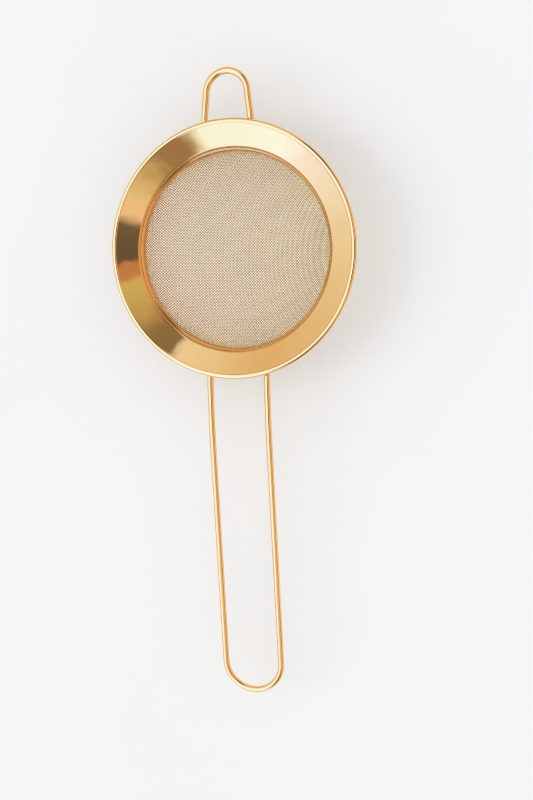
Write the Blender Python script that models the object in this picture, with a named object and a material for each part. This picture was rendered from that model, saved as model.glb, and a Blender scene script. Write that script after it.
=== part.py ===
"""Fine-mesh bar strainer: a turned rim band, a retaining ring, a wire-cloth bowl,
a long U-shaped handle wire, a short U-shaped rest loop and the four welds that hold them.

Metres, +Z up. The origin is the lowest point of the bowl, on the bowl's axis.
The mouth faces +Z, the handle runs along -Y and the rest loop along +Y.
"""

import math

import bmesh
import bpy
from mathutils import Matrix, Vector

# Rim band, in metres. Drops are measured down from the centre of the rolled bead.
RIM_RADIUS = 0.0425          # outside of the rolled bead
BEAD_RADIUS = 0.00115        # outside radius of the bead's tube
SHEET = 0.0004               # thickness of the band
BAND_INNER_RADIUS = 0.0341   # where the band turns down into its shoulder
BAND_SLOPE = math.radians(24)
NECK_INNER_RADIUS = 0.03335
NECK_DROP = 0.0066

# Wire-cloth bowl, drawn here as a thin solid shell.
BOWL_DEPTH = 0.0180          # lowest point below the bead's centre
CLOTH = 0.00026
CLOTH_RADIUS = 0.0331        # outside of the cloth where the neck holds it
CLOTH_TOP_DROP = 0.0041
CLOTH_NECK_DROP = 0.0056     # where the cloth starts to curve in
CLOTH_SHOULDER = 0.0050      # radius of the curve just below the neck
FLANK_SLOPE = math.radians(28)
TIP_FLAT_RADIUS = 0.0025     # small level patch that the bowl stands on

# Retaining ring: a thin wall whose top flares outwards over the edge of the cloth.
RING_INNER_RADIUS = 0.0324
RING_WALL = 0.00025
RING_TOP_DROP = 0.0031
RING_FLARE_DROP = 0.0038     # where the flare starts on the inside
RING_EDGE_BEVEL = 0.0001
RING_FOOT_DROP = 0.0052

# Wires, each bent to a U. The rest loop's wire is a little thicker.
HANDLE_WIRE_RADIUS = 0.0011
LOOP_WIRE_RADIUS = 0.00117
BEAD_CROSSING_DROP = 0.00265 # wire's centre where it passes under the bead
WIRE_START_DROP = 0.0054     # wire's centre where it meets the neck
HANDLE_HALF_WIDTH = 0.0100
HANDLE_REACH = 0.1514        # bow's centre line from the bowl's axis
HANDLE_BEND_REACH = 0.0570   # where the legs bend gently downwards
HANDLE_BEND_DROP = 0.0019
HANDLE_BEND_HALF_LENGTH = 0.0060
HANDLE_END_DROP = 0.0061
LOOP_HALF_WIDTH = 0.0080
LOOP_BOW_RADIUS = 0.0071
LOOP_REACH = 0.0580
LOOP_END_DROP = 0.0030

GAP = 0.0003                 # room between neighbouring pieces
CUT_END_ROOM = 0.0002        # extra room at a wire's end, which is cut square to its slope
TURN_STEPS = 64              # facets round every turned piece
BOW_STEPS = 14               # points round the bow of a wire
WELD_SIZE = (0.0011, 0.0008, 0.0006)

BEAD_HEIGHT = BOWL_DEPTH     # bead's centre above the origin
NECK_OUTER_RADIUS = NECK_INNER_RADIUS + SHEET


def metal(name, colour, roughness):
    """A metallic material of one colour."""
    material = bpy.data.materials.new(name)
    material.use_nodes = True
    shader = material.node_tree.nodes["Principled BSDF"]
    shader.inputs["Base Color"].default_value = (*colour, 1.0)
    shader.inputs["Roughness"].default_value = roughness
    shader.inputs["Metallic"].default_value = 1.0
    material.diffuse_color = (*colour, 1.0)
    return material


def new_object(name, data, material):
    """Link a new object that holds the given data and material."""
    data.materials.append(material)
    obj = bpy.data.objects.new(name, data)
    bpy.context.scene.collection.objects.link(obj)
    return obj


def arc(centre, radius, start, end, steps):
    """Points of an arc in the plane of radius and height. Angles are in radians."""
    angles = [start + (end - start) * i / steps for i in range(steps + 1)]
    return [(centre[0] + radius * math.cos(a), centre[1] + radius * math.sin(a)) for a in angles]


def offset_line(points, distance):
    """An open line moved sideways, to its left for a positive distance."""
    steps = [(Vector(b) - Vector(a)).normalized() for a, b in zip(points, points[1:])]
    moved = []
    for i, point in enumerate(points):
        before = steps[max(i - 1, 0)]
        after = steps[min(i, len(steps) - 1)]
        left_before = Vector((-before.y, before.x))
        left_after = Vector((-after.y, after.x))
        bisector = (left_before + left_after).normalized()
        moved.append(tuple(Vector(point) + bisector * (distance / bisector.dot(left_before))))
    return moved


def turned(name, outline, material, closed=True):
    """Spin an outline of (radius, height) points about the Z axis into one closed body."""
    bm = bmesh.new()
    verts = [bm.verts.new((radius, 0.0, height)) for radius, height in outline]
    edges = [bm.edges.new(pair) for pair in zip(verts, verts[1:])]
    if closed:
        edges.append(bm.edges.new((verts[-1], verts[0])))
    bmesh.ops.spin(bm, geom=verts + edges, cent=(0, 0, 0), axis=(0, 0, 1),
                   angle=math.tau, steps=TURN_STEPS, use_merge=False)
    bmesh.ops.remove_doubles(bm, verts=bm.verts, dist=1e-6)
    bmesh.ops.recalc_face_normals(bm, faces=bm.faces)
    mesh = bpy.data.meshes.new(name)
    bm.to_mesh(mesh)
    bm.free()
    mesh.shade_smooth()
    mesh.set_sharp_from_angle(angle=math.radians(40))
    return new_object(name, mesh, material)


def rim_band(material):
    """Pressed band: neck, rounded shoulder, sloping band and an open rolled bead."""
    neck = NECK_INNER_RADIUS + SHEET / 2
    bead_centre = (RIM_RADIUS - BEAD_RADIUS, BEAD_HEIGHT)
    curl_start = math.pi / 2 + BAND_SLOPE
    curl_end = math.radians(-150)
    curl = arc(bead_centre, BEAD_RADIUS - SHEET / 2, curl_start, curl_end, 9)
    run = curl[0][0] - BAND_INNER_RADIUS
    band_height = curl[0][1] - run * math.tan(BAND_SLOPE)
    bend = BAND_INNER_RADIUS - neck
    bend_centre = (BAND_INNER_RADIUS + bend * math.sin(BAND_SLOPE), band_height - bend)
    shoulder = arc(bend_centre, bend_centre[0] - neck, math.pi, curl_start, 4)
    centre_line = [(neck, BEAD_HEIGHT - NECK_DROP)] + shoulder + curl
    outline = offset_line(centre_line, SHEET / 2) + offset_line(centre_line, -SHEET / 2)[::-1]
    return turned("rim_band", outline, material)


def retaining_ring(material):
    """Thin wall that presses the cloth to the neck, flared at the top to cover the cloth's edge."""
    top = BEAD_HEIGHT - RING_TOP_DROP
    foot = BEAD_HEIGHT - RING_FOOT_DROP
    flare = BEAD_HEIGHT - RING_FLARE_DROP
    wall = RING_INNER_RADIUS + RING_WALL
    outline = [
        (RING_INNER_RADIUS, foot), (wall, foot), (wall, flare - RING_EDGE_BEVEL),
        (CLOTH_RADIUS, top - RING_WALL - RING_EDGE_BEVEL), (CLOTH_RADIUS, top - RING_EDGE_BEVEL),
        (CLOTH_RADIUS - RING_EDGE_BEVEL, top), (RING_INNER_RADIUS, flare),
    ]
    return turned("retaining_ring", outline, material)


def cloth_centre_line():
    """Middle of the cloth, from its edge in the neck down to the level patch at the tip.

    A short shoulder arc leads from the upright edge to a straight flank, and the tip arc's
    radius follows from the depth of the bowl.
    """
    edge = CLOTH_RADIUS - CLOTH / 2
    neck_height = BEAD_HEIGHT - CLOTH_NECK_DROP
    shoulder_centre = (edge - CLOTH_SHOULDER, neck_height)
    shoulder = arc(shoulder_centre, CLOTH_SHOULDER, 0.0, FLANK_SLOPE - math.pi / 2, 4)
    foot_radius, foot_height = shoulder[-1]
    lowest = CLOTH / 2
    slope = math.tan(FLANK_SLOPE)
    tip_radius = (slope * foot_radius - foot_height + lowest) / (
        slope * math.sin(FLANK_SLOPE) + math.cos(FLANK_SLOPE) - 1)
    tip_centre = (0.0, lowest + tip_radius)
    flat_angle = math.asin(TIP_FLAT_RADIUS / tip_radius)
    tip = arc(tip_centre, tip_radius, FLANK_SLOPE - math.pi / 2, flat_angle - math.pi / 2, 9)
    return [(edge, BEAD_HEIGHT - CLOTH_TOP_DROP)] + shoulder + tip


def mesh_bowl(material):
    """The cloth as a thin shell, open at the top and level at its lowest point."""
    line = cloth_centre_line()
    inside = offset_line(line, -CLOTH / 2)
    outside = offset_line(line, CLOTH / 2)
    lowest = outside[-1][1]
    outside = [(radius, height - lowest) for radius, height in outside]
    inside = [(radius, height - lowest) for radius, height in inside]
    outline = [(0.0, inside[-1][1])] + inside[::-1] + outside + [(0.0, outside[-1][1])]
    return turned("mesh_bowl", outline, material, closed=False)


def smooth_route(points, steps):
    """Points of a smooth curve through the given 3-D points, by Catmull-Rom interpolation."""
    padded = [points[0] * 2 - points[1]] + points + [points[-1] * 2 - points[-2]]
    route = []
    for before, start, end, after in zip(padded, padded[1:], padded[2:], padded[3:]):
        for i in range(steps):
            t = i / steps
            route.append(0.5 * (2 * start + (end - before) * t
                                + (2 * before - 5 * start + 4 * end - after) * t * t
                                + (3 * start - before - 3 * end + after) * t ** 3))
    return route + [points[-1]]


def wire_leg(half_width, end_width, stations):
    """One leg on the +X side, from the neck out to its bow, through (reach, drop) stations."""
    end_reach = stations[-1][0]
    points = []
    for reach, drop in stations:
        share = max(0.0, (reach - RIM_RADIUS) / (end_reach - RIM_RADIUS))
        x = half_width + (end_width - half_width) * share
        points.append(Vector((x, reach, BEAD_HEIGHT - drop)))
    return points


def bent_wire(name, leg, bow_radius, wire_radius, direction, material):
    """A U-shaped round wire: leg, half-round bow, mirrored leg. direction is +1 or -1 along Y."""
    leg_route = smooth_route(leg, 3)
    end = leg_route[-1]
    outward = end - leg_route[-2]
    outward.x = 0.0
    outward.normalize()
    bow = []
    for i in range(1, BOW_STEPS):
        angle = math.pi * i / BOW_STEPS
        middle = Vector((bow_radius * math.cos(angle), end.y, end.z))
        bow.append(middle + outward * (bow_radius * math.sin(angle)))
    other_leg = [Vector((-p.x, p.y, p.z)) for p in reversed(leg_route)]
    route = leg_route + bow + other_leg
    curve = bpy.data.curves.new(name, "CURVE")
    curve.dimensions = "3D"
    curve.bevel_depth = wire_radius
    curve.bevel_resolution = 3
    curve.use_fill_caps = True
    spline = curve.splines.new("POLY")
    spline.points.add(len(route) - 1)
    for point, place in zip(spline.points, route):
        point.co = (place.x, direction * place.y, place.z, 1.0)
    return new_object(name, curve, material)


def start_reach(half_width, wire_radius):
    """Distance along Y at which a leg's end stands clear of the neck."""
    clear = NECK_OUTER_RADIUS + GAP + CUT_END_ROOM
    return math.sqrt(clear ** 2 - (half_width - wire_radius) ** 2)


def handle_wire(material):
    """Long handle: level legs out of the rim, a gentle bend down, then a round bow."""
    crossing = math.sqrt(RIM_RADIUS ** 2 - HANDLE_HALF_WIDTH ** 2)
    slope = (HANDLE_END_DROP - HANDLE_BEND_DROP) / (HANDLE_REACH - HANDLE_BEND_REACH)
    middle_reach = (HANDLE_REACH + HANDLE_BEND_REACH) / 2
    middle_drop = (HANDLE_END_DROP + HANDLE_BEND_DROP) / 2
    bend_drop = HANDLE_BEND_DROP + slope * HANDLE_BEND_HALF_LENGTH
    stations = [
        (start_reach(HANDLE_HALF_WIDTH, HANDLE_WIRE_RADIUS), WIRE_START_DROP),
        (crossing, BEAD_CROSSING_DROP),
        (HANDLE_BEND_REACH - HANDLE_BEND_HALF_LENGTH, bend_drop),
        (HANDLE_BEND_REACH + HANDLE_BEND_HALF_LENGTH, bend_drop),
        (middle_reach, middle_drop),
        (HANDLE_REACH - HANDLE_HALF_WIDTH, HANDLE_END_DROP - slope * HANDLE_HALF_WIDTH),
    ]
    leg = wire_leg(HANDLE_HALF_WIDTH, HANDLE_HALF_WIDTH, stations)
    return bent_wire("handle_wire", leg, HANDLE_HALF_WIDTH, HANDLE_WIRE_RADIUS, -1, material)


def rest_loop_wire(material):
    """Short loop opposite the handle, which hooks over the edge of a glass."""
    crossing = math.sqrt(RIM_RADIUS ** 2 - LOOP_HALF_WIDTH ** 2)
    slope = (LOOP_END_DROP - BEAD_CROSSING_DROP) / (LOOP_REACH - crossing)
    stations = [
        (start_reach(LOOP_HALF_WIDTH, LOOP_WIRE_RADIUS), WIRE_START_DROP),
        (crossing, BEAD_CROSSING_DROP),
        (LOOP_REACH - LOOP_BOW_RADIUS, LOOP_END_DROP - slope * LOOP_BOW_RADIUS),
    ]
    leg = wire_leg(LOOP_HALF_WIDTH, LOOP_BOW_RADIUS, stations)
    return bent_wire("rest_loop_wire", leg, LOOP_BOW_RADIUS, LOOP_WIRE_RADIUS, 1, material)


def weld(name, x, direction, wire_radius, material):
    """A small rounded bead of weld in the corner under a wire's end, beside the neck."""
    bm = bmesh.new()
    bmesh.ops.create_icosphere(bm, subdivisions=2, radius=1.0)
    bmesh.ops.scale(bm, vec=WELD_SIZE, verts=bm.verts)
    mesh = bpy.data.meshes.new(name)
    bm.to_mesh(mesh)
    bm.free()
    mesh.shade_smooth()
    obj = new_object(name, mesh, material)
    out = NECK_OUTER_RADIUS + GAP + WELD_SIZE[1]
    y = direction * math.sqrt(out ** 2 - x ** 2)
    height = BEAD_HEIGHT - WIRE_START_DROP - wire_radius - GAP - WELD_SIZE[2]
    turn = math.atan2(y, x) - math.pi / 2
    obj.matrix_world = Matrix.Translation((x, y, height)) @ Matrix.Rotation(turn, 4, "Z")
    return obj


def build():
    """Clear the file, then make the nine pieces."""
    for obj in list(bpy.data.objects):
        bpy.data.objects.remove(obj)
    polished = metal("polished_gold", (0.80, 0.55, 0.27), 0.12)
    wire = metal("wire_gold", (0.78, 0.52, 0.25), 0.18)
    cloth = metal("cloth_gold", (0.70, 0.55, 0.38), 0.35)
    weld_metal = metal("weld_gold", (0.62, 0.42, 0.22), 0.45)
    rim_band(polished)
    retaining_ring(polished.copy())
    mesh_bowl(cloth)
    handle_wire(wire)
    rest_loop_wire(wire.copy())
    for side, sign in (("left", -1), ("right", 1)):
        weld("weld_handle_" + side, sign * HANDLE_HALF_WIDTH, -1, HANDLE_WIRE_RADIUS,
             weld_metal.copy())
        weld("weld_loop_" + side, sign * LOOP_HALF_WIDTH, 1, LOOP_WIRE_RADIUS, weld_metal.copy())


build()
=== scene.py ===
"""Looks of the fine-mesh bar strainer: polished gold rim, woven wire bowl, bent wire handle and loop.

Metres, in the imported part's frame: the origin is the lowest point of the bowl, +Z leaves the mouth,
the handle runs along -Y and the rest loop along +Y.
"""
import math

import bpy
import numpy as np
from mathutils import Matrix, Vector


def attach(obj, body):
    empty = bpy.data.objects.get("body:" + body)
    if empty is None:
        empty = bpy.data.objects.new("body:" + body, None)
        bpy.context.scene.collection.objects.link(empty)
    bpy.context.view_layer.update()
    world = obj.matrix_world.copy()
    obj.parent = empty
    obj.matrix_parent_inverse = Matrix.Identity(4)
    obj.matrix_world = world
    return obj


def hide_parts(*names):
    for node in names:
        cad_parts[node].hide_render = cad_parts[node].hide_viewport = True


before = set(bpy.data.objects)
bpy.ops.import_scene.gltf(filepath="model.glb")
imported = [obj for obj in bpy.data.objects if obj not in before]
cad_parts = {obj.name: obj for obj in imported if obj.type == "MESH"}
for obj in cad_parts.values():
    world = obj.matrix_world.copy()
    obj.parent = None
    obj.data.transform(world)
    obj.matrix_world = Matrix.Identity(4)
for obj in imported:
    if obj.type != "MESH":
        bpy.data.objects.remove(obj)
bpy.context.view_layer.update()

# Rim band. Drops are measured down from the centre of the rolled bead.
BEAD_HEIGHT = 0.0180
RIM_RADIUS = 0.0425
BEAD_RADIUS = 0.00098
SHEET = 0.0004
SHOULDER_BEND = 0.00105      # radius of the turn from band to neck
BAND_SLOPE = math.radians(24)
BEAD_STANDS_OVER = math.radians(20)  # how far round the bead starts above the band
NECK_INNER_RADIUS = 0.03335
NECK_DROP = 0.0066
BAND_CREASE_AT = 0.0043      # from the shoulder to a faint crease in the band
BAND_CREASE_DEPTH = 0.00004
CURL_END = math.radians(-170)
TURN_STEPS = 288             # points round every turned piece
TURNING_MARKS = 9000.0       # per metre
DENT_SPACING = 130.0         # per metre
DENT_DEPTH = 0.00012

# Woven cloth.
PITCH = 0.00069              # from one wire to the next
CLOTH_WIRE = 0.000117        # radius of a cloth wire
CLOTH_EDGE = 0.03297
CLOTH_TOP_DROP = 0.0041
CLOTH_NECK_DROP = 0.0056
CLOTH_SHOULDER = 0.0050
FLANK_SLOPE = math.radians(28)
CLOTH_TURN = math.radians(-1.5)
CLOTH_MARGIN = 0.0001        # the net stops this far inside the cloth's edge
NET_ROUNDS = 12              # steps that settle each crossing
NET_ADVANCE = 0.05           # pitches that each crossing lies beyond the one inside it, at least
CLOTH_END_PITCHES = 4        # how far a wire may run up the neck
CLOTH_END_ADVANCE = 0.25     # pitches that it climbs for each pitch, at least
CLOTH_SIDES = 6
STEPS_PER_PITCH = 4
CLOTH_BANDS = 4              # pieces that each set of wires is split into

# Retaining ring.
RING_INNER_RADIUS = 0.0324
RING_OUTER_RADIUS = 0.0333
RING_WALL = 0.00025
RING_TOP_DROP = 0.0031
RING_FLARE_DROP = 0.0038
RING_FOOT_DROP = 0.0052
RING_BEND = 0.0012           # radius between wall and flare
RING_EDGE = 0.00008          # rounding of the foot
RING_LIP_EDGE = 0.00001      # keeps the lip's shading crisp

# Wires.
HANDLE_WIRE_RADIUS = 0.0011
LOOP_WIRE_RADIUS = 0.00117
BEAD_CROSSING_DROP = 0.00265
WIRE_START_DROP = 0.0054
HANDLE_HALF_WIDTH = 0.0100
HANDLE_REACH = 0.1514
HANDLE_BEND_REACH = 0.0570
HANDLE_BEND_DROP = 0.0019
HANDLE_BEND_HALF_LENGTH = 0.0060
HANDLE_END_DROP = 0.0061
LOOP_HALF_WIDTH = 0.0080
LOOP_BOW_RADIUS = 0.0071
LOOP_REACH = 0.0580
LOOP_END_DROP = 0.0030
WIRE_SIDES = 28
BOW_STEPS = 48
ROUTE_STEPS = 14             # points between two stations of a wire's leg
WIRE_END = ((0.00020, 0.80), (0.00028, 0.0))  # distance beyond the end and share of the radius there

# Welds.
WELD_STANDS_OUT = 0.00035    # from the neck's outside to the weld's centre and the wire's end
WELD_BELOW_WIRE = 0.0004
WELD_SIZE = (0.0014, 0.0009, 0.0012)

# Camera.
CAMERA_SPOT = Vector((0.12230, -0.00986, 0.36489))
CAMERA_AIM = Vector((0.00452, -0.05159, 0.0))
CAMERA_LEAN = math.radians(-2.30)
CAMERA_LENS = 50.0

# Room and light. Tints may pass 1, since the windows are brighter than the paper-white floor.
# ROOM_AROUND gives the tints that the band mirrors, by the angle of the mirroring spot round the rim.
MIRROR_POLE = Vector((-0.332, 0.027, 0.943))
ROOM_SCALE = 3.0
ROOM_AROUND = (
    (0, (0.9, 0.9, 0.91)), (24, (0.97, 1.07, 1.45)), (38, (1.03, 1.18, 1.91)), (52, (1.1, 1.47, 2.45)),
    (96, (1.05, 1.39, 2.18)), (101, (0.92, 0.98, 1.18)), (106, (0.38, 0.26, 0.18)),
    (123, (0.35, 0.26, 0.17)), (131, (0.58, 0.47, 0.32)), (147, (0.82, 0.74, 0.57)),
    (158, (0.96, 0.75, 0.68)), (164, (0.16, 0.14, 0.11)), (183, (0.13, 0.11, 0.09)),
    (185, (0.56, 0.29, 0.17)), (191, (0.56, 0.29, 0.17)), (195, (0.67, 0.6, 0.32)),
    (213, (0.55, 0.44, 0.25)), (226, (0.29, 0.22, 0.15)), (240, (0.27, 0.2, 0.15)),
    (243, (0.92, 0.9, 0.91)), (260, (0.89, 0.82, 0.73)), (285, (0.81, 0.67, 0.5)),
    (300, (0.81, 0.65, 0.48)), (335, (0.85, 0.78, 0.68)), (360, (0.9, 0.9, 0.91)),
)
CEILING = (1.05, 1.39, 2.09)
RIGHT_WALL_HIGH = (0.92, 0.50, 0.27)
RIGHT_WALL_LOW = (0.51, 0.34, 0.19)
LOW_SHADE = (0.82, 0.66, 0.60)
SKIRTING = (0.71, 0.46, 0.25)
CEILING_EDGE = (math.radians(26), math.radians(38))      # angles from MIRROR_POLE
LOW_SHADE_EDGE = (math.radians(54), math.radians(66))
RIGHT_WALL_TOWARDS = Vector((1.0, 0.0, 0.1))
RIGHT_WALL_EDGE = (0.55, 0.80)                           # share of a direction that points there
RIGHT_WALL_TURN = (0.25, 0.50)                           # sines of the height above the floor
SKIRTING_EDGE = (0.02, 0.22)
ROOM_LIGHT = (1.0, 1.0, 1.0)             # the even light on everything
BACKDROP = (0.905, 0.905, 0.905)         # seen straight past the floor's edge
SUN_STRENGTH = 0.35
SUN_HEIGHT = math.radians(42)
SUN_WIDTH = math.radians(30)
FLOOR_SIZE = 8.0
FLOOR_TONES = ((0.845, 0.85, 0.855), (0.87, 0.87, 0.87))


class Nodes:
    """Short ways to add and link shader nodes."""

    def __init__(self, tree):
        self.tree = tree

    def add(self, kind, **settings):
        node = self.tree.nodes.new(kind)
        for key, value in settings.items():
            setattr(node, key, value)
        return node

    def feed(self, socket, value):
        if isinstance(value, bpy.types.NodeSocket):
            self.tree.links.new(value, socket)
        else:
            socket.default_value = value

    def maths(self, operation, a, b=0.0):
        node = self.add("ShaderNodeMath", operation=operation)
        for socket, value in zip(node.inputs, (a, b)):
            self.feed(socket, value)
        return node.outputs[0]

    def span(self, value, low, high, to_low=0.0, to_high=1.0, kind="LINEAR"):
        node = self.add("ShaderNodeMapRange", interpolation_type=kind)
        for socket, number in zip(node.inputs, (value, low, high, to_low, to_high)):
            self.feed(socket, number)
        return node.outputs["Result"]

    def mix(self, share, a, b):
        node = self.add("ShaderNodeMix", data_type="RGBA")
        self.feed(node.inputs["Factor"], share)
        self.feed(node.inputs[6], (*a, 1.0) if isinstance(a, tuple) else a)
        self.feed(node.inputs[7], (*b, 1.0) if isinstance(b, tuple) else b)
        return node.outputs[2]

    def dot(self, vector, fixed):
        node = self.add("ShaderNodeVectorMath", operation="DOT_PRODUCT")
        self.feed(node.inputs[0], vector)
        node.inputs[1].default_value = fixed
        return node.outputs["Value"]

    def scaled(self, vector, scale):
        node = self.add("ShaderNodeVectorMath", operation="MULTIPLY")
        self.feed(node.inputs[0], vector)
        node.inputs[1].default_value = scale
        return node.outputs[0]

    def noise(self, vector, scale, detail, roughness=0.5):
        node = self.add("ShaderNodeTexNoise")
        self.feed(node.inputs["Vector"], vector)
        node.inputs["Scale"].default_value = scale
        node.inputs["Detail"].default_value = detail
        node.inputs["Roughness"].default_value = roughness
        return node.outputs["Fac"]


def new_material(name):
    """A material with a bare Principled shader. Returns the material, its node helper and the shader."""
    material = bpy.data.materials.new(name)
    material.use_nodes = True
    shader = material.node_tree.nodes["Principled BSDF"]
    shader.inputs["Metallic"].default_value = 1.0
    return material, Nodes(material.node_tree), shader


def turned_gold(name, pale, deep, roughness):
    """Polished plating with faint turning marks, haze, a few wiped scratches and broad, shallow dents."""
    material, n, shader = new_material(name)
    place = n.add("ShaderNodeTexCoord").outputs["Object"]
    parts = n.add("ShaderNodeSeparateXYZ")
    n.feed(parts.inputs[0], place)
    radius = n.maths("SQRT", n.maths("ADD", n.maths("POWER", parts.outputs[0], 2.0),
                                     n.maths("POWER", parts.outputs[1], 2.0)))
    angle = n.maths("ARCTAN2", parts.outputs[1], parts.outputs[0])
    rings = n.add("ShaderNodeCombineXYZ")
    n.feed(rings.inputs[0], n.maths("MULTIPLY", radius, TURNING_MARKS))
    n.feed(rings.inputs[1], n.maths("MULTIPLY", angle, 1.3))
    n.feed(rings.inputs[2], n.maths("MULTIPLY", parts.outputs[2], TURNING_MARKS))
    marks = n.noise(rings.outputs[0], 1.0, 2.0)
    haze = n.noise(place, 90.0, 4.0, 0.6)
    drift = n.noise(place, 30.0, 2.0)
    stretched = n.scaled(place, (400.0, 5200.0, 900.0))
    scratches = n.span(n.noise(stretched, 1.0, 2.0), 0.70, 0.78)
    tone = n.mix(n.span(drift, 0.30, 0.70), pale, deep)
    n.feed(shader.inputs["Base Color"], tone)
    base = n.span(haze, 0.30, 0.75, roughness * 0.8, roughness * 1.35)
    rough = n.maths("ADD", base, n.maths("MULTIPLY", marks, 0.03))
    n.feed(shader.inputs["Roughness"], n.maths("ADD", rough, n.maths("MULTIPLY", scratches, 0.05)))
    bump = n.add("ShaderNodeBump")
    bump.inputs["Strength"].default_value = 0.05
    bump.inputs["Distance"].default_value = 0.00002
    n.feed(bump.inputs["Height"], n.maths("ADD", marks, n.maths("MULTIPLY", scratches, 0.5)))
    waves = n.add("ShaderNodeBump")
    waves.inputs["Strength"].default_value = 1.0
    waves.inputs["Distance"].default_value = DENT_DEPTH
    n.feed(waves.inputs["Height"], n.noise(place, DENT_SPACING, 1.0))
    n.feed(waves.inputs["Normal"], bump.outputs["Normal"])
    n.feed(shader.inputs["Normal"], waves.outputs["Normal"])
    return material


def drawn_gold(name, pale, deep, roughness):
    """Bright drawn wire: fine marks along its length and slow changes of tone."""
    material, n, shader = new_material(name)
    place = n.add("ShaderNodeTexCoord").outputs["UV"]
    marks = n.noise(n.scaled(place, (60.0, 40.0, 1.0)), 1.0, 2.0)
    drift = n.noise(n.scaled(place, (2.0, 90.0, 1.0)), 1.0, 3.0)
    n.feed(shader.inputs["Base Color"], n.mix(n.span(drift, 0.3, 0.7), pale, deep))
    n.feed(shader.inputs["Roughness"], n.span(drift, 0.25, 0.75, roughness * 0.8, roughness * 1.3))
    bump = n.add("ShaderNodeBump")
    bump.inputs["Strength"].default_value = 0.08
    bump.inputs["Distance"].default_value = 0.00003
    n.feed(bump.inputs["Height"], marks)
    n.feed(shader.inputs["Normal"], bump.outputs["Normal"])
    return material


def cloth_metal(name, pale, deep, roughness):
    """Thinly plated cloth wire whose tone changes from wire to wire and over the bowl."""
    material, n, shader = new_material(name)
    place = n.add("ShaderNodeTexCoord").outputs["Object"]
    grain = n.noise(place, 1500.0, 2.0)
    drift = n.noise(place, 60.0, 3.0)
    share = n.maths("ADD", n.maths("MULTIPLY", grain, 0.5), n.maths("MULTIPLY", drift, 0.5))
    n.feed(shader.inputs["Base Color"], n.mix(n.span(share, 0.35, 0.65), pale, deep))
    n.feed(shader.inputs["Roughness"], n.span(grain, 0.3, 0.7, roughness * 0.85, roughness * 1.2))
    return material


def weld_metal(name, pale, deep, roughness):
    """Plated weld: rippled, a little darker and dulled by heat."""
    material, n, shader = new_material(name)
    place = n.add("ShaderNodeTexCoord").outputs["Object"]
    ripple = n.noise(place, 2200.0, 3.0)
    n.feed(shader.inputs["Base Color"], n.mix(n.span(ripple, 0.3, 0.7), pale, deep))
    n.feed(shader.inputs["Roughness"], n.span(ripple, 0.3, 0.7, roughness * 0.8, roughness * 1.2))
    bump = n.add("ShaderNodeBump")
    bump.inputs["Strength"].default_value = 0.4
    bump.inputs["Distance"].default_value = 0.0001
    n.feed(bump.inputs["Height"], ripple)
    n.feed(shader.inputs["Normal"], bump.outputs["Normal"])
    return material


def mesh_piece(name, verts, quads, material, stands_for, uv=None):
    """A smooth mesh from arrays, riding on the strainer's one body."""
    mesh = bpy.data.meshes.new(name)
    mesh.vertices.add(len(verts))
    mesh.vertices.foreach_set("co", np.asarray(verts, np.float32).ravel())
    quads = np.asarray(quads, np.int32)
    mesh.loops.add(quads.size)
    mesh.loops.foreach_set("vertex_index", quads.ravel())
    mesh.polygons.add(len(quads))
    mesh.polygons.foreach_set("loop_start", np.arange(0, quads.size, 4, dtype=np.int32))
    mesh.update(calc_edges=True)
    mesh.polygons.foreach_set("use_smooth", np.ones(len(quads), bool))
    if uv is not None:
        layer = mesh.uv_layers.new(name="Along")
        layer.data.foreach_set("uv", np.asarray(uv, np.float32).ravel())
    mesh.materials.append(material)
    piece = bpy.data.objects.new(name, mesh)
    bpy.context.scene.collection.objects.link(piece)
    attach(piece, "root")
    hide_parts(*stands_for)
    return piece


def arc(centre, radius, start, end, steps):
    """Points of an arc in the plane of radius and height."""
    angles = np.linspace(start, end, steps + 1)
    return np.stack([centre[0] + radius * np.cos(angles), centre[1] + radius * np.sin(angles)], 1)


def sheet_outline(line, thickness):
    """Closed outline of a sheet round its centre line, with rounded cut edges."""
    line = np.asarray(line)
    along = np.gradient(line, axis=0)
    along /= np.linalg.norm(along, axis=1)[:, None]
    left = np.stack([-along[:, 1], along[:, 0]], 1)
    half = thickness / 2
    first = math.atan2(along[0, 1], along[0, 0])
    last = math.atan2(along[-1, 1], along[-1, 0])
    end_cap = arc(line[-1], half, last + math.pi / 2, last - math.pi / 2, 6)[1:-1]
    start_cap = arc(line[0], half, first - math.pi / 2, first - 3 * math.pi / 2, 6)[1:-1]
    return np.concatenate([line + left * half, end_cap, (line - left * half)[::-1], start_cap])


def turned(name, outline, material, stands_for):
    """Spin a closed outline of (radius, height) points about the Z axis."""
    outline = np.asarray(outline)
    count = len(outline)
    angles = np.arange(TURN_STEPS) * math.tau / TURN_STEPS
    verts = np.stack([np.outer(np.cos(angles), outline[:, 0]), np.outer(np.sin(angles), outline[:, 0]),
                      np.broadcast_to(outline[:, 1], (TURN_STEPS, count))], -1).reshape(-1, 3)
    i, j = np.meshgrid(np.arange(TURN_STEPS), np.arange(count), indexing="ij")
    k, m = (i + 1) % TURN_STEPS, (j + 1) % count
    quads = np.stack([i * count + j, i * count + m, k * count + m, k * count + j], -1).reshape(-1, 4)
    area = np.sum(outline[:, 0] * np.roll(outline[:, 1], -1) - np.roll(outline[:, 0], -1) * outline[:, 1])
    if area > 0:
        quads = quads[:, ::-1]
    return mesh_piece(name, verts, quads, material, stands_for)


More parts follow.
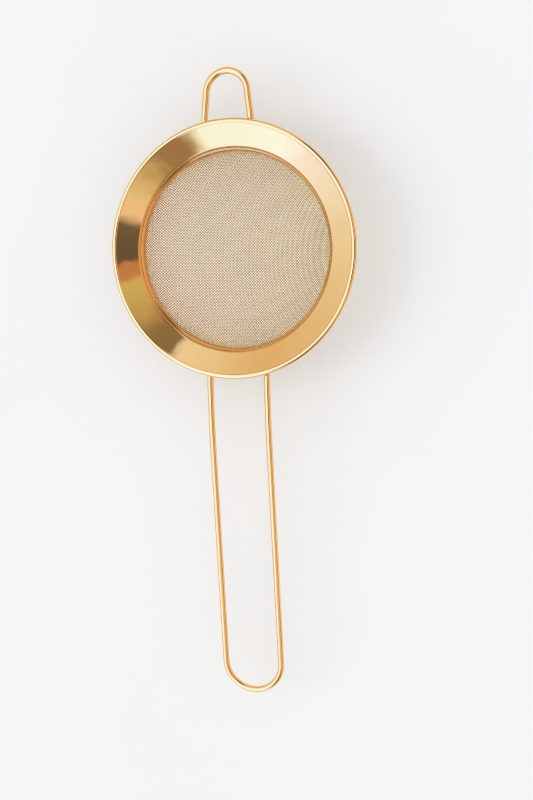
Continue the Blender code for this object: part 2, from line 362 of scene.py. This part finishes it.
def rim_band(material):
    """Neck, rounded shoulder, sloping band and rolled bead in one sheet."""
    neck = NECK_INNER_RADIUS + SHEET / 2
    bead_centre = (RIM_RADIUS - BEAD_RADIUS, BEAD_HEIGHT)
    curl_start = math.pi / 2 + BAND_SLOPE + BEAD_STANDS_OVER
    curl = arc(bead_centre, BEAD_RADIUS - SHEET / 2, curl_start, CURL_END, 72)
    band_foot = neck + SHOULDER_BEND * (1 - math.sin(BAND_SLOPE))
    band_height = curl[0, 1] - (curl[0, 0] - band_foot) * math.tan(BAND_SLOPE)
    bend_centre = (neck + SHOULDER_BEND, band_height - SHOULDER_BEND * math.cos(BAND_SLOPE))
    shoulder = arc(bend_centre, SHOULDER_BEND, math.pi, math.pi / 2 + BAND_SLOPE, 24)
    wall = np.linspace((neck, BEAD_HEIGHT - NECK_DROP), shoulder[0], 8)[:-1]
    band = np.linspace(shoulder[-1], curl[0], 40)[1:-1]
    sag = np.clip((band[:, 0] - shoulder[-1, 0]) / BAND_CREASE_AT, 0, 1)
    rest = np.clip((curl[0, 0] - band[:, 0]) / (curl[0, 0] - shoulder[-1, 0] - BAND_CREASE_AT), 0, 1)
    band[:, 1] -= BAND_CREASE_DEPTH * np.minimum(sag, rest)
    line = np.concatenate([wall, shoulder, band, curl])
    return turned("band_sheet", sheet_outline(line, SHEET), material, ["rim_band"])


def retaining_ring(material):
    """Thin wall against the cloth, flared at the top over the cloth's edge."""
    top = BEAD_HEIGHT - RING_TOP_DROP
    foot = BEAD_HEIGHT - RING_FOOT_DROP
    flare = BEAD_HEIGHT - RING_FLARE_DROP
    wall = RING_INNER_RADIUS + RING_WALL
    slope = math.atan2(top - flare, RING_OUTER_RADIUS - RING_INNER_RADIUS)
    tangent = RING_BEND * math.tan((math.pi / 2 - slope) / 2)
    bend_centre = (RING_INNER_RADIUS + RING_BEND, flare - tangent)
    along = np.array((math.cos(slope), math.sin(slope)))
    lip = np.array((RING_OUTER_RADIUS - RING_LIP_EDGE, top))
    outline = np.concatenate([
        [(wall - RING_EDGE, foot), (wall, foot + RING_EDGE), (wall, flare),
         (RING_OUTER_RADIUS, top - RING_WALL), (RING_OUTER_RADIUS, top - RING_LIP_EDGE),
         lip, lip - along * RING_LIP_EDGE],
        arc(bend_centre, RING_BEND, math.pi / 2 + slope, math.pi, 10),
        np.linspace((RING_INNER_RADIUS, flare - tangent), (RING_INNER_RADIUS, foot + RING_EDGE), 8)[1:],
        [(RING_INNER_RADIUS + RING_EDGE, foot)],
    ])
    return turned("ring_sheet", outline, material, ["retaining_ring"])


def cloth_profile():
    """Arc lengths, radii and heights of the cloth's middle surface, from the tip to its top edge."""
    neck_height = BEAD_HEIGHT - CLOTH_NECK_DROP
    centre = (CLOTH_EDGE - CLOTH_SHOULDER, neck_height)
    shoulder = arc(centre, CLOTH_SHOULDER, FLANK_SLOPE - math.pi / 2, 0.0, 300)
    foot_radius, foot_height = shoulder[0]
    lowest = 2 * CLOTH_WIRE
    slope = math.tan(FLANK_SLOPE)
    tip_radius = (slope * foot_radius - foot_height + lowest) / (
        slope * math.sin(FLANK_SLOPE) + math.cos(FLANK_SLOPE) - 1)
    tip = arc((0.0, lowest + tip_radius), tip_radius, -math.pi / 2, FLANK_SLOPE - math.pi / 2, 1600)
    flank = np.linspace(tip[-1], shoulder[0], 100)[1:-1]
    edge = np.linspace(shoulder[-1], (CLOTH_EDGE, BEAD_HEIGHT - CLOTH_TOP_DROP), 60)[1:]
    line = np.concatenate([tip, flank, shoulder, edge])
    length = np.concatenate([[0.0], np.cumsum(np.linalg.norm(np.diff(line, axis=0), axis=1))])
    return length, line[:, 0], line[:, 1]


def woven_net(profile, reach):
    """Crossings of two sets of evenly spaced wires laid over the bowl, as a grid of points.

    The two middle wires follow the bowl straight through its tip. Every other crossing lies one
    pitch from its two inner neighbours, on the bowl. Crossings beyond the shoulder are left NaN.
    """
    length, radii, heights = profile
    inner = radii < reach
    table_r, table_z = radii[inner], heights[inner]
    table_slope = np.gradient(table_z, table_r)
    count = int(length[-1] / PITCH) + 4
    grid = np.full((2 * count + 1, 2 * count + 1, 3), np.nan)
    steps = np.arange(count + 1) * PITCH
    spoke = np.interp(steps, length, radii)
    spoke[steps > length[inner][-1]] = np.nan
    for turn, first in ((math.pi / 4, True), (-math.pi / 4, False)):
        for sign in (1, -1):
            angle = turn + CLOTH_TURN + (0.0 if sign > 0 else math.pi)
            line = np.stack([spoke * math.cos(angle), spoke * math.sin(angle),
                             np.interp(spoke, table_r, table_z)], 1)
            along = count + sign * np.arange(count + 1)
            if first:
                grid[along, count] = line
            else:
                grid[count, along] = line
    for su in (1, -1):
        for sv in (1, -1):
            for k in range(2, 2 * count + 1):
                i = np.arange(max(1, k - count), min(count, k - 1) + 1)
                j = k - i
                a = grid[count + su * i, count + sv * (j - 1)]
                b = grid[count + su * (i - 1), count + sv * j]
                o = grid[count + su * (i - 1), count + sv * (j - 1)]
                x, y = (a + b - o)[:, 0], (a + b - o)[:, 1]
                for _ in range(NET_ROUNDS):
                    r = np.hypot(x, y)
                    z = np.interp(r, table_r, table_z)
                    rise = np.interp(r, table_r, table_slope) / np.maximum(r, 1e-9)
                    to_a = np.stack([x, y, z], 1) - a
                    to_b = np.stack([x, y, z], 1) - b
                    miss_a = (to_a ** 2).sum(1) - PITCH ** 2
                    miss_b = (to_b ** 2).sum(1) - PITCH ** 2
                    ax, ay = to_a[:, 0] + to_a[:, 2] * rise * x, to_a[:, 1] + to_a[:, 2] * rise * y
                    bx, by = to_b[:, 0] + to_b[:, 2] * rise * x, to_b[:, 1] + to_b[:, 2] * rise * y
                    det = ax * by - ay * bx
                    det = np.where(np.abs(det) < 1e-12, np.nan, det)
                    dx = (miss_b * ay - miss_a * by) / (2 * det)
                    dy = (miss_a * bx - miss_b * ax) / (2 * det)
                    shrink = np.minimum(1.0, PITCH / np.maximum(np.hypot(dx, dy), 1e-12))
                    x, y = x + dx * shrink, y + dy * shrink
                r = np.hypot(x, y)
                good = (r < reach) & (r > np.hypot(o[:, 0], o[:, 1]) + NET_ADVANCE * PITCH)
                point = np.stack([x, y, np.interp(r, table_r, table_z)], 1)
                grid[count + su * i, count + sv * j] = np.where(good[:, None], point, np.nan)
    return grid


def cloth_wire_path(nodes, parity, profile):
    """One wire's centre line and its side of the cloth, from neck to neck, waving over and under."""
    length, radii, heights = profile
    r = np.hypot(nodes[:, 0], nodes[:, 1])
    s = np.interp(r, radii, length)
    cross = math.pi * (np.arange(len(nodes)) + parity)
    t = np.arange(0, len(nodes) - 1 + 1e-9, 1.0 / STEPS_PER_PITCH)
    index = np.arange(len(nodes))
    middle = np.stack([np.interp(t, index, nodes[:, c]) for c in range(3)], 1)
    wave = np.cos(np.interp(t, index, cross))
    ends = []
    for near, beyond, step in ((0, 1, -1), (-1, -2, 1)):
        ds = s[near] - s[beyond]
        angle = math.atan2(nodes[near, 1], nodes[near, 0])
        before = math.atan2(nodes[beyond, 1], nodes[beyond, 0])
        da = (angle - before + math.pi) % math.tau - math.pi
        more = np.arange(1, CLOTH_END_PITCHES * STEPS_PER_PITCH) / STEPS_PER_PITCH
        far = s[near] + max(ds, CLOTH_END_ADVANCE * PITCH) * more
        keep = far < length[-1]
        far, more = far[keep], more[keep]
        fr, fz = np.interp(far, length, radii), np.interp(far, length, heights)
        fa = angle + da * more
        points = np.stack([fr * np.cos(fa), fr * np.sin(fa), fz], 1)
        waves = np.cos(cross[near] + step * math.pi * more)
        ends.append((points, waves) if step > 0 else (points[::-1], waves[::-1]))
    points = np.concatenate([ends[0][0], middle, ends[1][0]])
    waves = np.concatenate([ends[0][1], wave, ends[1][1]])
    r = np.hypot(points[:, 0], points[:, 1])
    s = np.where(points[:, 2] > BEAD_HEIGHT - CLOTH_NECK_DROP,
                 length[-1] - (heights[-1] - points[:, 2]), np.interp(r, radii, length))
    dr = np.interp(s, length, np.gradient(radii, length))
    dz = np.interp(s, length, np.gradient(heights, length))
    out = points[:, :2] / np.maximum(r, 1e-9)[:, None]
    normal = np.stack([-dz * out[:, 0], -dz * out[:, 1], dr], 1)
    normal /= np.linalg.norm(normal, axis=1)[:, None]
    return points + normal * (waves * CLOTH_WIRE)[:, None], normal


def tube(path, normal, radius, sides):
    """Vertices and quads of a round tube along a path, each ring lying square to it."""
    along = np.gradient(path, axis=0)
    along /= np.linalg.norm(along, axis=1)[:, None]
    side = np.cross(along, normal)
    side /= np.linalg.norm(side, axis=1)[:, None]
    up = np.cross(side, along)
    angles = np.arange(sides) * math.tau / sides
    ring = up[:, None] * np.cos(angles)[None, :, None] + side[:, None] * np.sin(angles)[None, :, None]
    radius = np.broadcast_to(radius, len(path))
    verts = (path[:, None] + ring * radius[:, None, None]).reshape(-1, 3)
    i, j = np.meshgrid(np.arange(len(path) - 1), np.arange(sides), indexing="ij")
    k = (j + 1) % sides
    quads = np.stack([i * sides + j, i * sides + k, (i + 1) * sides + k, (i + 1) * sides + j], -1)
    return verts, quads.reshape(-1, 4)


def woven_cloth(material):
    """The bowl as two sets of crossing wires, each set split into pieces of like size.

    The wires don't dim the even light on the floor, so it stays as pale under the bowl as bright
    stone does. They still block the sun and show in reflections.
    """
    profile = cloth_profile()
    grid = woven_net(profile, CLOTH_EDGE - CLOTH_MARGIN)
    for name, net, flip in (("warp", grid, 0), ("weft", grid.transpose(1, 0, 2), 1)):
        wires = []
        for row in range(len(net)):
            good = np.flatnonzero(~np.isnan(net[row, :, 0]))
            if len(good) < 4:
                continue
            path, normal = cloth_wire_path(net[row, good[0]:good[-1] + 1], good[0] + row + flip, profile)
            wires.append(tube(path, normal, CLOTH_WIRE, CLOTH_SIDES))
        total = sum(len(verts) for verts, quads in wires)
        share, done, batch, number = total / CLOTH_BANDS, 0, [], 1
        for index, wire in enumerate(wires):
            batch.append(wire)
            done += len(wire[0])
            if done >= share * number or index == len(wires) - 1:
                starts = np.cumsum([0] + [len(verts) for verts, quads in batch])[:-1]
                verts = np.concatenate([verts for verts, quads in batch])
                quads = np.concatenate([quads + start for (_, quads), start in zip(batch, starts)])
                piece = mesh_piece(f"cloth_{name}_{number}", verts, quads, material, ["mesh_bowl"])
                piece.visible_diffuse = False
                batch, number = [], number + 1


def smooth_route(points, steps):
    """A Catmull-Rom curve through the given points."""
    points = [np.asarray(p, float) for p in points]
    padded = [points[0] * 2 - points[1]] + points + [points[-1] * 2 - points[-2]]
    route = []
    for before, start, end, after in zip(padded, padded[1:], padded[2:], padded[3:]):
        for i in range(steps):
            t = i / steps
            route.append(0.5 * (2 * start + (end - before) * t
                                + (2 * before - 5 * start + 4 * end - after) * t * t
                                + (3 * start - before - 3 * end + after) * t ** 3))
    return route + [points[-1]]


def bent_wire(name, half_width, end_width, wire_radius, stations, direction, material, stands_for):
    """A U-shaped round wire from neck to bow and back, with slightly rounded ends."""
    end_reach = stations[-1][0]
    leg = []
    for reach, drop in stations:
        share = max(0.0, (reach - RIM_RADIUS) / (end_reach - RIM_RADIUS))
        leg.append((half_width + (end_width - half_width) * share, reach, BEAD_HEIGHT - drop))
    leg = np.array(smooth_route(leg, ROUTE_STEPS))
    outward = leg[-1] - leg[-2]
    outward[0] = 0.0
    outward /= np.linalg.norm(outward)
    angles = np.linspace(0, math.pi, BOW_STEPS + 1)[1:-1]
    bow = np.stack([end_width * np.cos(angles), np.full(len(angles), leg[-1, 1]),
                    np.full(len(angles), leg[-1, 2])], 1)
    bow += outward * (end_width * np.sin(angles))[:, None]
    other = leg[::-1] * (-1, 1, 1)
    path = np.concatenate([leg, bow, other]) * (1, direction, 1)
    start, finish = path[0] - path[1], path[-1] - path[-2]
    start, finish = start / np.linalg.norm(start), finish / np.linalg.norm(finish)
    first = [path[0] + start * reach for reach, share in WIRE_END[::-1]]
    last = [path[-1] + finish * reach for reach, share in WIRE_END]
    shares = [share for reach, share in WIRE_END]
    radius = wire_radius * np.concatenate([shares[::-1], np.ones(len(path)), shares])
    path = np.concatenate([first, path, last])
    verts, quads = tube(path, np.broadcast_to((0.0, 0.0, 1.0), path.shape), radius, WIRE_SIDES)
    length = np.concatenate([[0.0], np.cumsum(np.linalg.norm(np.diff(path, axis=0), axis=1))])
    ring = np.tile([0, 1, 1, 0], (WIRE_SIDES, 1)) + np.arange(WIRE_SIDES)[:, None]
    across = np.broadcast_to(ring / WIRE_SIDES, (len(path) - 1, WIRE_SIDES, 4))
    along = np.broadcast_to(np.stack([length[:-1], length[:-1], length[1:], length[1:]], 1)[:, None],
                            (len(path) - 1, WIRE_SIDES, 4))
    uv = np.stack([across, along], -1).reshape(-1, 2)
    return mesh_piece(name, verts, quads, material, stands_for, uv)


def start_reach(half_width, wire_radius):
    """Distance along Y at which a leg's end meets the neck."""
    touching = NECK_INNER_RADIUS + SHEET + WELD_STANDS_OUT
    return math.sqrt(touching ** 2 - (half_width - wire_radius) ** 2)


def handle_wire(material):
    """The long U, which leaves the neck under the bead and bends gently down towards its bow."""
    crossing = math.sqrt(RIM_RADIUS ** 2 - HANDLE_HALF_WIDTH ** 2)
    slope = (HANDLE_END_DROP - HANDLE_BEND_DROP) / (HANDLE_REACH - HANDLE_BEND_REACH)
    bend_drop = HANDLE_BEND_DROP + slope * HANDLE_BEND_HALF_LENGTH
    stations = [
        (start_reach(HANDLE_HALF_WIDTH, HANDLE_WIRE_RADIUS), WIRE_START_DROP),
        (crossing, BEAD_CROSSING_DROP),
        (HANDLE_BEND_REACH - HANDLE_BEND_HALF_LENGTH, bend_drop),
        (HANDLE_BEND_REACH + HANDLE_BEND_HALF_LENGTH, bend_drop),
        ((HANDLE_REACH + HANDLE_BEND_REACH) / 2, (HANDLE_END_DROP + HANDLE_BEND_DROP) / 2),
        (HANDLE_REACH - HANDLE_HALF_WIDTH, HANDLE_END_DROP - slope * HANDLE_HALF_WIDTH),
    ]
    return bent_wire("handle", HANDLE_HALF_WIDTH, HANDLE_HALF_WIDTH, HANDLE_WIRE_RADIUS, stations, -1,
                     material, ["handle_wire"])


def rest_loop(material):
    """The short U opposite the handle, a little narrower at its bow."""
    crossing = math.sqrt(RIM_RADIUS ** 2 - LOOP_HALF_WIDTH ** 2)
    slope = (LOOP_END_DROP - BEAD_CROSSING_DROP) / (LOOP_REACH - crossing)
    stations = [
        (start_reach(LOOP_HALF_WIDTH, LOOP_WIRE_RADIUS), WIRE_START_DROP),
        (crossing, BEAD_CROSSING_DROP),
        (LOOP_REACH - LOOP_BOW_RADIUS, LOOP_END_DROP - slope * LOOP_BOW_RADIUS),
    ]
    return bent_wire("rest_loop", LOOP_HALF_WIDTH, LOOP_BOW_RADIUS, LOOP_WIRE_RADIUS, stations, 1,
                     material, ["rest_loop_wire"])


def weld(name, x, direction, material, node):
    """A lumpy bead of weld that wraps a wire's end where it meets the neck."""
    around, up = 40, 20
    theta, phi = np.meshgrid(np.arange(around) * math.tau / around,
                             np.linspace(0.02, math.pi - 0.02, up), indexing="ij")
    lump = 1 + 0.07 * np.sin(3 * theta + x * 900) * np.sin(phi) ** 2 + 0.05 * np.sin(5 * phi + theta)
    round_body = np.stack([np.sin(phi) * np.cos(theta), np.sin(phi) * np.sin(theta), np.cos(phi)], -1)
    local = round_body * WELD_SIZE * lump[..., None]
    out = NECK_INNER_RADIUS + SHEET + WELD_STANDS_OUT
    y = direction * math.sqrt(out ** 2 - x ** 2)
    turn = math.atan2(y, x) - math.pi / 2
    centre = (x, y, BEAD_HEIGHT - WIRE_START_DROP - WELD_BELOW_WIRE)
    place = Matrix.Translation(centre) @ Matrix.Rotation(turn, 4, "Z")
    verts = local.reshape(-1, 3) @ np.array(place.to_3x3()).T + np.array(place.translation)
    i, j = np.meshgrid(np.arange(around), np.arange(up - 1), indexing="ij")
    k = (i + 1) % around
    quads = np.stack([i * up + j, i * up + j + 1, k * up + j + 1, k * up + j], -1).reshape(-1, 4)
    return mesh_piece(name, verts, quads, material, [node])


def studio():
    """Pale floor, the room, and a soft sun from the left."""
    bpy.ops.mesh.primitive_plane_add(size=FLOOR_SIZE, location=(0.0, 0.0, 0.0))
    floor = bpy.context.object
    floor.name = "floor"
    material, n, shader = new_material("pale_floor")
    shader.inputs["Metallic"].default_value = 0.0
    shader.inputs["Roughness"].default_value = 0.5
    shader.inputs["Specular IOR Level"].default_value = 0.0
    place = n.add("ShaderNodeTexCoord").outputs["Object"]
    n.feed(shader.inputs["Base Color"], n.mix(n.span(n.noise(place, 6.0, 3.0), 0.3, 0.7), *FLOOR_TONES))
    floor.data.materials.append(material)

    room()

    sun = bpy.data.lights.new("window_sun", "SUN")
    sun.energy = SUN_STRENGTH
    sun.angle = SUN_WIDTH
    lamp = bpy.data.objects.new("window_sun", sun)
    lamp.visible_glossy = False
    bpy.context.scene.collection.objects.link(lamp)
    towards = Vector((-math.cos(SUN_HEIGHT), 0.0, math.sin(SUN_HEIGHT)))
    lamp.rotation_mode = "QUATERNION"
    lamp.rotation_quaternion = (-towards).to_track_quat("-Z", "Y")


def room():
    """The room round the table: even light for the floor, and windows and walls for the metal to mirror.

    What the metal mirrors changes with the angle round MIRROR_POLE, the direction that a level
    mirror shows the camera. Close to that pole it is the bright ceiling. The camera itself sees a
    backdrop of the floor's own tone.
    """
    world = bpy.data.worlds.new("room")
    world.use_nodes = True
    bpy.context.scene.world = world
    n = Nodes(world.node_tree)
    direction = n.add("ShaderNodeTexCoord").outputs["Generated"]
    pole = MIRROR_POLE.normalized()
    first = (Vector((1.0, 0.0, 0.0)) - pole * pole.x).normalized()
    second = pole.cross(first)
    across = [n.dot(direction, -first), n.dot(direction, -second)]
    turn = n.maths("FRACT", n.maths("ADD", n.maths("DIVIDE", n.maths("ARCTAN2", across[1], across[0]),
                                                   math.tau), 1.0))
    ramp = n.add("ShaderNodeValToRGB")
    n.feed(ramp.inputs[0], turn)
    stops = ramp.color_ramp.elements
    stops.remove(stops[1])
    for degrees, tint in ROOM_AROUND:
        stop = stops.new(degrees / 360.0) if degrees else stops[0]
        stop.color = (*(value / ROOM_SCALE for value in tint), 1.0)
    around = n.scaled(ramp.outputs[0], (ROOM_SCALE,) * 3)
    height = n.dot(direction, pole)
    low = n.dot(direction, Vector((0.0, 0.0, 1.0)))
    overhead = n.span(height, math.cos(CEILING_EDGE[1]), math.cos(CEILING_EDGE[0]), kind="SMOOTHSTEP")
    mirrored = n.mix(overhead, around, CEILING)
    lower = n.span(height, math.cos(LOW_SHADE_EDGE[1]), math.cos(LOW_SHADE_EDGE[0]), 1.0, 0.0,
                   kind="SMOOTHSTEP")
    mirrored = n.mix(lower, mirrored, n.scaled(mirrored, LOW_SHADE))
    right = n.span(n.dot(direction, RIGHT_WALL_TOWARDS.normalized()), *RIGHT_WALL_EDGE, kind="SMOOTHSTEP")
    right_wall = n.mix(n.span(low, *RIGHT_WALL_TURN, kind="SMOOTHSTEP"), RIGHT_WALL_LOW, RIGHT_WALL_HIGH)
    mirrored = n.mix(right, mirrored, right_wall)
    near_floor = n.span(low, *SKIRTING_EDGE, 1.0, 0.0, kind="SMOOTHSTEP")
    mirrored = n.mix(near_floor, mirrored, SKIRTING)
    path = n.add("ShaderNodeLightPath")
    plain = n.mix(path.outputs["Is Camera Ray"], ROOM_LIGHT, BACKDROP)
    seen = n.maths("MULTIPLY", path.outputs["Is Glossy Ray"],
                   n.maths("LESS_THAN", path.outputs["Diffuse Depth"], 0.5))
    n.feed(world.node_tree.nodes["Background"].inputs["Color"], n.mix(seen, plain, mirrored))


def camera():
    """A 50 mm camera above and to the right of the strainer, looking down at it."""
    data = bpy.data.cameras.new("camera")
    data.lens = CAMERA_LENS
    data.sensor_width = 36.0
    data.sensor_fit = "AUTO"
    data.clip_start, data.clip_end = 0.01, 20.0
    cam = bpy.data.objects.new("camera", data)
    bpy.context.scene.collection.objects.link(cam)
    back = (CAMERA_SPOT - CAMERA_AIM).normalized()
    level = Vector((0.0, 1.0, 0.0)).cross(back).normalized()
    upright = back.cross(level)
    right = level * math.cos(CAMERA_LEAN) + upright * math.sin(CAMERA_LEAN)
    up = back.cross(right)
    cam.matrix_world = Matrix.Translation(CAMERA_SPOT) @ Matrix((right, up, back)).transposed().to_4x4()
    bpy.context.scene.camera = cam


rim_band(turned_gold("rim_gold", (0.95, 0.68, 0.33), (0.895, 0.631, 0.286), 0.055))
retaining_ring(turned_gold("ring_gold", (0.895, 0.613, 0.297), (0.808, 0.527, 0.242), 0.12))
woven_cloth(cloth_metal("cloth_gold", (0.89, 0.64, 0.22), (0.76, 0.51, 0.155), 0.17))
bright_wire = drawn_gold("wire_gold", (0.97, 0.68, 0.32), (0.915, 0.62, 0.28), 0.20)
handle_wire(bright_wire)
rest_loop(bright_wire)
dull_weld = weld_metal("weld_gold", (0.70, 0.49, 0.22), (0.52, 0.36, 0.16), 0.32)
for side, sign in (("left", -1), ("right", 1)):
    weld(f"handle_weld_{side}", sign * HANDLE_HALF_WIDTH, -1, dull_weld, f"weld_handle_{side}")
    weld(f"loop_weld_{side}", sign * LOOP_HALF_WIDTH, 1, dull_weld, f"weld_loop_{side}")
studio()
camera()
bpy.context.scene.view_settings.view_transform = "Standard"
bpy.context.scene.cycles.denoising_prefilter = "NONE"
bpy.context.scene.cycles.filter_width = 1.0
